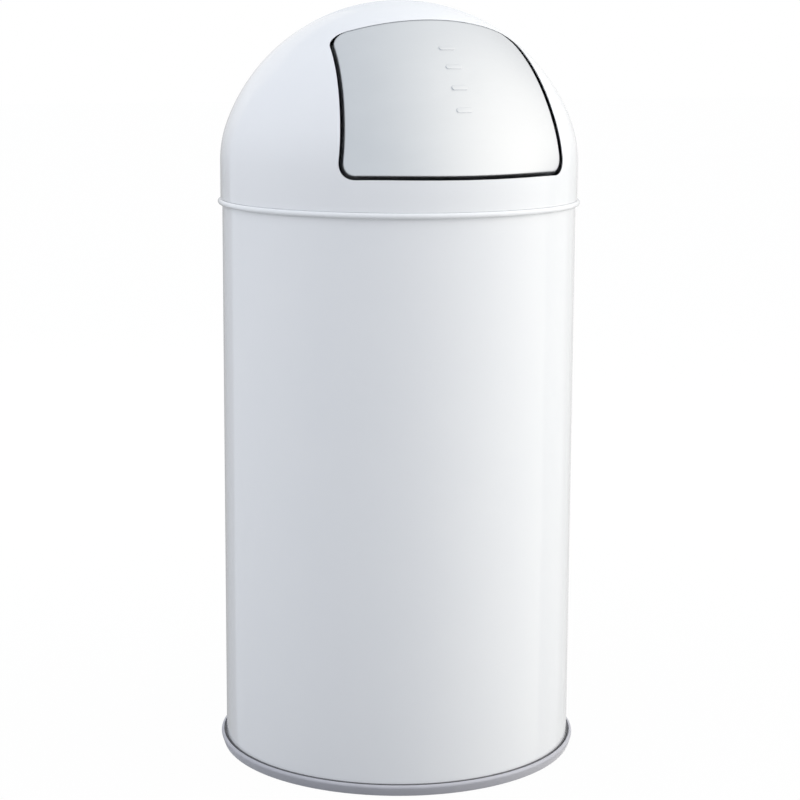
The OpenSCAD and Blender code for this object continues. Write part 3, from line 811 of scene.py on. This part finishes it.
bright_wire = new_finish(
    "bright_wire", size=2500, relief=0.004 * MM, tone=(0.68, 0.7, 0.72), other_tone=(0.76, 0.76, 0.74),
    smoothest=0.16, roughest=0.3, metallic=1,
)
spring_steel = new_finish(
    "spring_steel", size=3000, relief=0.004 * MM, tone=(0.25, 0.25, 0.27), other_tone=(0.34, 0.32, 0.3),
    smoothest=0.26, roughest=0.42, metallic=1,
)


def on_rod(pairs):
    """Points beside the rod, from pairs of a place along X and a radius."""
    return [HINGE + Vector((u, 0, r)) for u, r in pairs]


def mirrored(piece, name):
    """A copy of the piece on the other side of the bin, with its faces turned outwards again."""
    twin = twin_of(piece)
    twin.name = twin.data.name = name
    twin.data.transform(Matrix.Diagonal((-1, 1, 1, 1)))
    twin.data.flip_normals()
    return twin


rod = turn("axle", on_rod([
    (-ROD_END, 0), (-ROD_END, ROD_R - ROD_EDGE), (ROD_EDGE - ROD_END, ROD_R),
    (ROD_END - ROD_EDGE, ROD_R), (ROD_END, ROD_R - ROD_EDGE), (ROD_END, 0),
]), HINGE, X_AXIS)
shade(rod)
settle(rod, "lid", bright_wire, "bright_wire", "hinge_rod")

clip = turn("axle_clips", on_rod([
    (CLIP_U, ROD_R), (CLIP_U, CLIP_R - CLIP_EDGE), (CLIP_U + CLIP_EDGE, CLIP_R),
    (CLIP_U + CLIP_FLANGE_T, CLIP_R), (CLIP_U + CLIP_FOOT_T, CLIP_FOOT_R),
    (CLIP_U + CLIP_T, CLIP_TOP_R), (CLIP_U + CLIP_T, ROD_R), (CLIP_U, ROD_R),
]), HINGE, X_AXIS)
clips = join([clip, mirrored(clip, "other_clip")])
shade(clips)
settle(clips, "lid", spring_steel, "spring_steel", "rod_clips")


# ---------------------------------------------------------------------------
# Brackets and ears
# Laser-cut zinc-plated plate with one flange bent over. The brackets are spot-welded under the dome
# and the ears behind the flap; their cut edges are lightly broken.

RUBBED_ZINC = (0.86, 0.86, 0.86)
BROKEN_EDGE = 0.2 * MM
BROKEN_FROM = math.radians(40)
SAME_SPOT = 0.01 * MM
SAME_FACE = math.radians(0.5)

plated_plate = new_finish(
    "zinc_plated_plate", size=1400, relief=0.005 * MM, tone=(0.6, 0.63, 0.68), other_tone=(0.72, 0.7, 0.64),
    smoothest=0.26, roughest=0.42, metallic=1,
)
tree = plated_plate.node_tree
over(tree, effect(tree, rubbed, Amount=0.8)["Mask"], RUBBED_ZINC)


def copy_of(cad_node, name):
    """A copy of a CAD node with its triangles joined, its flat faces whole and its edges broken."""
    piece = bpy.data.objects.new(name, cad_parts[cad_node].data.copy())
    bpy.context.scene.collection.objects.link(piece)
    pick(piece)
    bpy.ops.mesh.customdata_custom_splitnormals_clear()
    bpy.ops.object.mode_set(mode="EDIT")
    clean(SAME_SPOT)
    bpy.ops.mesh.dissolve_limited(angle_limit=SAME_FACE)
    bpy.ops.object.mode_set(mode="OBJECT")
    apply(piece, "BEVEL", width=BROKEN_EDGE, segments=2, limit_method="ANGLE", angle_limit=BROKEN_FROM)
    return piece


for side in ("left", "right"):
    bracket = copy_of(f"hinge_bracket_{side}", f"bracket_{side}")
    shade(bracket)
    settle(bracket, "lid", plated_plate, "plated_plate", f"hinge_bracket_{side}")
    ear = copy_of(f"flap_ear_{side}", f"ear_{side}")
    shade(ear)
    settle(ear, "flap", plated_plate, "plated_plate", f"flap_ear_{side}")


# ---------------------------------------------------------------------------
# Bushes
# Turned nylon bushes with a flange, pushed into the ears so that the flap swings on plastic and steel
# never runs on steel.

BUSH_R = 3.5 * MM
BUSH_FLANGE_R = 5 * MM
BUSH_IN = 57.25 * MM
BUSH_FLANGE_IN = 60.8 * MM
BUSH_OUT = 61.75 * MM
BUSH_EDGE = 0.25 * MM
BUSH_HOLE = 2.05 * MM

nylon = new_finish(
    "natural_nylon", size=1800, relief=0.006 * MM, tone=(0.79, 0.77, 0.7), other_tone=(0.85, 0.83, 0.78),
    smoothest=0.38, roughest=0.52,
)

bush = turn("bush_right", on_rod([
    (BUSH_IN, BUSH_HOLE), (BUSH_IN, BUSH_R - BUSH_EDGE), (BUSH_IN + BUSH_EDGE, BUSH_R),
    (BUSH_FLANGE_IN, BUSH_R), (BUSH_FLANGE_IN, BUSH_FLANGE_R - BUSH_EDGE),
    (BUSH_FLANGE_IN + BUSH_EDGE, BUSH_FLANGE_R), (BUSH_OUT - BUSH_EDGE, BUSH_FLANGE_R),
    (BUSH_OUT, BUSH_FLANGE_R - BUSH_EDGE), (BUSH_OUT, BUSH_HOLE), (BUSH_IN, BUSH_HOLE),
]), HINGE, X_AXIS)
shade(bush)
other_bush = mirrored(bush, "bush_left")
settle(bush, "flap", nylon, "bush_nylon", "flap_bush_right")
settle(other_bush, "flap", nylon, "bush_nylon", "flap_bush_left")


# ---------------------------------------------------------------------------
# Stop pads
# Moulded rubber buttons, their barbed stems pulled through the brackets' tabs; the ears' tails rest
# on them when the flap is closed.

PAD_U = 60 * MM
PAD_Y = -18 * MM
PAD_Z = 594 * MM
PAD_R = 4.5 * MM
PAD_TOP_R = 0.8 * PAD_R
PAD_H = 3.7 * MM
PAD_STEM_R = 2 * MM
PAD_LIP_R = 3.2 * MM
PAD_LIP_T = 1.5 * MM
TAB_T = 1.5 * MM
PAD_ROUND = 0.6 * MM
RUBBER_DUST = (0.3, 0.29, 0.28)

rubber = new_finish(
    "black_rubber", size=1500, relief=0.02 * MM,
    tone=(0.025, 0.025, 0.027), other_tone=(0.045, 0.044, 0.043), smoothest=0.52, roughest=0.72,
)
tree = rubber.node_tree
over(tree, effect(tree, dusty, Amount=0.3)["Mask"], RUBBER_DUST)

pad = turn("stop_buttons", [Vector((PAD_U + r, PAD_Y, PAD_Z + z)) for r, z in [
    (0, -TAB_T - PAD_LIP_T), (PAD_STEM_R, -TAB_T - PAD_LIP_T), (PAD_LIP_R, -TAB_T), (PAD_STEM_R, -TAB_T),
    (PAD_STEM_R, 0), (PAD_R - PAD_ROUND / 2, 0), (PAD_R, PAD_ROUND / 2),
    *arc((PAD_TOP_R - PAD_ROUND, PAD_H - PAD_ROUND), PAD_ROUND, 10, 90, 5), (0, PAD_H),
]], (PAD_U, PAD_Y, PAD_Z), Z_AXIS)
pads = join([pad, mirrored(pad, "other_button")])
shade(pads)
settle(pads, "lid", rubber, "pad_rubber", "stop_pads")


# ---------------------------------------------------------------------------
# Closing springs
# Coils of spring wire round the rod. One leg of each bears on the inside of the dome and the other on
# the back of the flap.

SPRING_WIRE = 1.2 * MM
SPRING_R = 3.6 * MM
SPRING_TURNS = 5
SPRING_DOME_U = 72.35 * MM
SPRING_FLAP_U = 62.95 * MM
SPRING_STEPS = 24
SPRING_SIDES = 12
DOME_LEG_AT = 135
FLAP_LEG_AT = -5
LEG_FREE = 0.9 * MM


def reach(point, direction, radius):
    """How far a point goes in a direction to a circle about the origin."""
    along = point.dot(direction)
    return math.sqrt(along**2 - point.dot(point) + radius**2) - along


def way(angle):
    """A direction seen from the bin's left side, with its front to the right, from its angle in degrees."""
    a = math.radians(angle)
    return Vector((math.cos(a), math.sin(a)))


def leg(u, turned, heading, radius):
    """A spring leg as a vector: from the coil's point at the angle turned to the sheet of that radius."""
    coil_point = Vector((-HINGE.y, HINGE.z - crown_z)) + SPRING_R * way(turned)
    length = reach(coil_point, way(heading), math.sqrt((radius - LEG_FREE) ** 2 - u**2))
    return length * Vector((0, -way(heading).x, way(heading).y))


def wind_on(angle, steps, centre, axis, rise=Vector((0, 0, 0))):
    """In edit mode, extends the wire whose end face is selected round an axis, rising along it."""
    for _ in range(steps):
        extend(rise / steps)
        bpy.ops.transform.rotate(value=-angle / steps, orient_axis=axis, center_override=centre)


first_turned = DOME_LEG_AT - 90
last_turned = FLAP_LEG_AT + 90 - 360 * SPRING_TURNS
dome_leg = leg(SPRING_DOME_U, first_turned, DOME_LEG_AT, crown_r - SHEET)
flap_leg = leg(SPRING_FLAP_U, last_turned, FLAP_LEG_AT, flap_r - SHEET)
first_angle = math.radians(first_turned)
coil_start = HINGE + Vector(
    (SPRING_DOME_U, -SPRING_R * math.cos(first_angle), SPRING_R * math.sin(first_angle))
)
bpy.ops.object.select_all(action="DESELECT")
bpy.ops.mesh.primitive_circle_add(
    vertices=SPRING_SIDES, radius=SPRING_WIRE / 2, fill_type="NGON",
    location=coil_start + dome_leg, rotation=dome_leg.to_track_quat("Z", "Y").to_euler(),
)
spring = bpy.context.object
spring.name = "closing_spring_right"
bpy.ops.object.mode_set(mode="EDIT")
extend(-dome_leg)
wind_on(
    math.radians(first_turned - last_turned), SPRING_TURNS * SPRING_STEPS, HINGE, "X",
    Vector((SPRING_FLAP_U - SPRING_DOME_U, 0, 0)),
)
extend(flap_leg)
clean()
bpy.ops.object.mode_set(mode="OBJECT")
bpy.ops.object.transform_apply()
shade(spring)
other_spring = mirrored(spring, "closing_spring_left")
for piece, side in ((spring, 1), (other_spring, -1)):
    piece.data.materials.append(spring_steel)
    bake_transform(piece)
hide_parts("torsion_spring_right")
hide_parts("torsion_spring_left")


# ---------------------------------------------------------------------------
# Bottom of the body
# Pressed steel disc, its middle raised to stiffen it and its flange seamed into the hem. It is coated
# with the body, and the bucket stands on it.

BOTTOM_Z = 10 * MM
BOTTOM_R = 148.5 * MM
BOTTOM_RISE = 2 * MM
PANEL_R = 119.5 * MM
PANEL_SLOPE = 4 * MM
PANEL_BEND = 0.5 * MM
BEND_FROM = math.radians(15)
FLANGE_Z = 3.6 * MM
FLANGE_BEND = 1 * MM

bottom_plate = lathe("bottom_plate", [
    (0, BOTTOM_Z + BOTTOM_RISE + SHEET),
    (PANEL_R, BOTTOM_Z + BOTTOM_RISE + SHEET),
    (PANEL_R + PANEL_SLOPE, BOTTOM_Z + SHEET),
    *arc((BOTTOM_R - FLANGE_BEND, BOTTOM_Z + SHEET - FLANGE_BEND), FLANGE_BEND, 90, 0, 4),
    (BOTTOM_R, FLANGE_Z),
])
apply(bottom_plate, "SOLIDIFY", thickness=SHEET, offset=-1, use_even_offset=True)
apply(bottom_plate, "BEVEL", width=PANEL_BEND, segments=3, limit_method="ANGLE", angle_limit=BEND_FROM)
shade(bottom_plate)
settle(bottom_plate, "bin", white_coat, "white_coat", "body_bottom")


# ---------------------------------------------------------------------------
# Inner bucket
# Zinc-coated sheet, rolled and curled like the body, with a pressed bottom. It stands free inside the
# body, on the body's bottom.

BUCKET_R = 140 * MM
ZINC_SHEET = 0.6 * MM
BUCKET_Z = 11.1 * MM
BUCKET_TOP = 448 * MM
BUCKET_CURL_R = 2.2 * MM
BUCKET_HEM_RI = 137.6 * MM
BUCKET_HEM_LIP = 3.5 * MM
BUCKET_DISC_Z = 17.1 * MM
BUCKET_DISC_R = 139.2 * MM
BUCKET_FLANGE_Z = 11.9 * MM
SPANGLE = 70
SPANGLE_BENT = 0.12
DARK_CRYSTAL = 0.74
LIGHT_CRYSTAL = 1.16
SMOOTH_CRYSTAL = 0.3
ROUGH_CRYSTAL = 0.5
ZINC_DUST = (0.5, 0.48, 0.45)

zinc = new_finish(
    "zinc_coating", size=900, relief=0.006 * MM, tone=(0.5, 0.52, 0.54), other_tone=(0.6, 0.61, 0.62),
    smoothest=0.34, roughest=0.48, metallic=1,
)
tree = zinc.node_tree
wavy = node(tree, "TexNoise", Vector=places(tree), Scale=SPANGLE, Detail=3).outputs[1]
bent = mix(tree, SPANGLE_BENT, places(tree), wavy)
crystals = node(tree, "TexVoronoi", Vector=bent, Scale=SPANGLE).outputs["Color"]
chance = node(tree, "SeparateColor", Color=crystals).outputs
socket, tone = fed(tree, "Base Color")
shades = ramp(tree, chance[0], 0, 1, DARK_CRYSTAL, LIGHT_CRYSTAL)
tree.links.new(sum_of(tree, "MULTIPLY", tone, shades, kind="VectorMath"), socket)
socket, rough = fed(tree, "Roughness")
patchy = ramp(tree, chance[1], 0, 1, SMOOTH_CRYSTAL, ROUGH_CRYSTAL)
tree.links.new(sum_of(tree, "MULTIPLY", sum_of(tree, "ADD", patchy, rough), 0.5), socket)
over(tree, effect(tree, dusty, Amount=0.25, Size=40)["Mask"], ZINC_DUST)

bucket_curl_x = BUCKET_R - ZINC_SHEET + BUCKET_CURL_R
bucket = lathe("bucket", [
    (BUCKET_HEM_RI + ZINC_SHEET, BUCKET_Z + ZINC_SHEET + BUCKET_HEM_LIP),
    (BUCKET_HEM_RI + ZINC_SHEET, BUCKET_Z + ZINC_SHEET),
    (BUCKET_R - ZINC_SHEET, BUCKET_Z + ZINC_SHEET),
    *arc((bucket_curl_x, BUCKET_TOP - BUCKET_CURL_R), BUCKET_CURL_R, 180, CURL_END, 30),
])
apply(bucket, "SOLIDIFY", thickness=ZINC_SHEET, offset=-1, use_even_offset=True)
shade(bucket)
settle(bucket, "liner", zinc, "galvanised", "liner_shell")

bucket_disc = lathe("bucket_disc", [
    (0, BUCKET_DISC_Z + ZINC_SHEET),
    *arc((BUCKET_DISC_R - FLANGE_BEND, BUCKET_DISC_Z + ZINC_SHEET - FLANGE_BEND), FLANGE_BEND, 90, 0, 5),
    (BUCKET_DISC_R, BUCKET_FLANGE_Z),
])
apply(bucket_disc, "SOLIDIFY", thickness=ZINC_SHEET, offset=-1, use_even_offset=True)
shade(bucket_disc)
settle(bucket_disc, "liner", zinc, "galvanised", "liner_bottom")


# ---------------------------------------------------------------------------
# Handle lugs and rivets
# Galvanised plate lugs that the handle hooks into, each held inside the bucket by two solid rivets with
# a rounded head at both ends.

RIVET_R = 2 * MM
RIVET_Z = 426 * MM
RIVET_GAP = 12 * MM
RIVET_HEAD_R = 3.6 * MM
RIVET_HEAD_T = 1.2 * MM
RIVET_IN = 137.23 * MM
RIVET_OUT = 140.1 * MM
HEAD_STEPS = 6
RIVET_TURNS = 24

for side in ("left", "right"):
    lug = copy_of(f"liner_ear_{side}", f"lug_{side}")
    shade(lug)
    settle(lug, "liner", zinc, "galvanised", f"liner_ear_{side}")


def head(at, way):
    """A rivet head's rounded line, from its edge on the sheet to its crown, as places and radii."""
    return [(at + way * RIVET_HEAD_T * math.sin(a), RIVET_HEAD_R * math.cos(a)) for a in [
        math.pi / 2 * i / HEAD_STEPS for i in range(HEAD_STEPS + 1)
    ]]


rivets = []
for side in (-1, 1):
    for y in (-RIVET_GAP / 2, RIVET_GAP / 2):
        line = [
            *reversed(head(RIVET_IN, -1)), (RIVET_IN, RIVET_R),
            (RIVET_OUT, RIVET_R), *head(RIVET_OUT, 1),
        ]
        rivets.append(turn(
            f"rivet_{len(rivets)}", [Vector((side * x, y, RIVET_Z + r)) for x, r in line],
            (0, y, RIVET_Z), X_AXIS, RIVET_TURNS,
        ))
rivets = join(rivets)
rivets.name = "rivets"
shade(rivets, angle=50)
settle(rivets, "liner", bright_wire, "bright_wire", "liner_rivets")


# ---------------------------------------------------------------------------
# Bucket handle
# One length of bright zinc-plated wire bent to half a hoop, its ends turned in through the lugs and
# upset to heads. It lies on the bucket's rim.

WIRE_R = 2 * MM
HOOP_R = 141.6 * MM
HOOP_Z = 450.3 * MM
ELBOW_R = 2.87 * MM
HEAD_R = 3.4 * MM
HEAD_T = 1.5 * MM
HEAD_X = 137.03 * MM
HEAD_EDGE = 0.3 * MM
HOOP_STEPS = 120
ELBOW_STEPS = 10
WIRE_SIDES = 20

elbow_x = math.sqrt((HOOP_R - ELBOW_R) ** 2 - ELBOW_R**2)
elbow_at = math.atan2(ELBOW_R, elbow_x)
bpy.ops.object.select_all(action="DESELECT")
bpy.ops.mesh.primitive_circle_add(
    vertices=WIRE_SIDES, radius=HEAD_R - HEAD_EDGE, fill_type="NGON",
    location=(HEAD_X - HEAD_T, 0, HOOP_Z), rotation=(0, math.pi / 2, 0),
)
handle = bpy.context.object
handle.name = "bucket_handle"
bpy.ops.object.transform_apply()
bpy.ops.object.mode_set(mode="EDIT")


def widen_to(radius, start, place):
    """Scales the wire's end face about its middle, from one radius to another."""
    share = radius / start
    bpy.ops.transform.resize(value=(share, share, share), center_override=place)


def spot(x):
    """A place on the line through both lugs."""
    return Vector((x, 0, HOOP_Z))


right = Vector((1, 0, 0))
extend(HEAD_EDGE * right)
widen_to(HEAD_R, HEAD_R - HEAD_EDGE, spot(HEAD_X - HEAD_T + HEAD_EDGE))
extend((HEAD_T - HEAD_EDGE) * right)
extend(Vector())
widen_to(WIRE_R, HEAD_R, spot(HEAD_X))
extend((elbow_x - HEAD_X) * right)
wind_on(math.pi / 2 + elbow_at, ELBOW_STEPS, (elbow_x, ELBOW_R, HOOP_Z), "Z")
wind_on(math.pi - 2 * elbow_at, HOOP_STEPS, (0, 0, HOOP_Z), "Z")
wind_on(math.pi / 2 + elbow_at, ELBOW_STEPS, (-elbow_x, ELBOW_R, HOOP_Z), "Z")
extend((elbow_x - HEAD_X) * right)
extend(Vector())
widen_to(HEAD_R, WIRE_R, spot(-HEAD_X))
extend((HEAD_T - HEAD_EDGE) * right)
extend(HEAD_EDGE * right)
widen_to(HEAD_R - HEAD_EDGE, HEAD_R, spot(HEAD_T - HEAD_X))
clean()
bpy.ops.object.mode_set(mode="OBJECT")
shade(handle)
settle(handle, "bail", bright_wire, "bright_wire", "bail_handle")
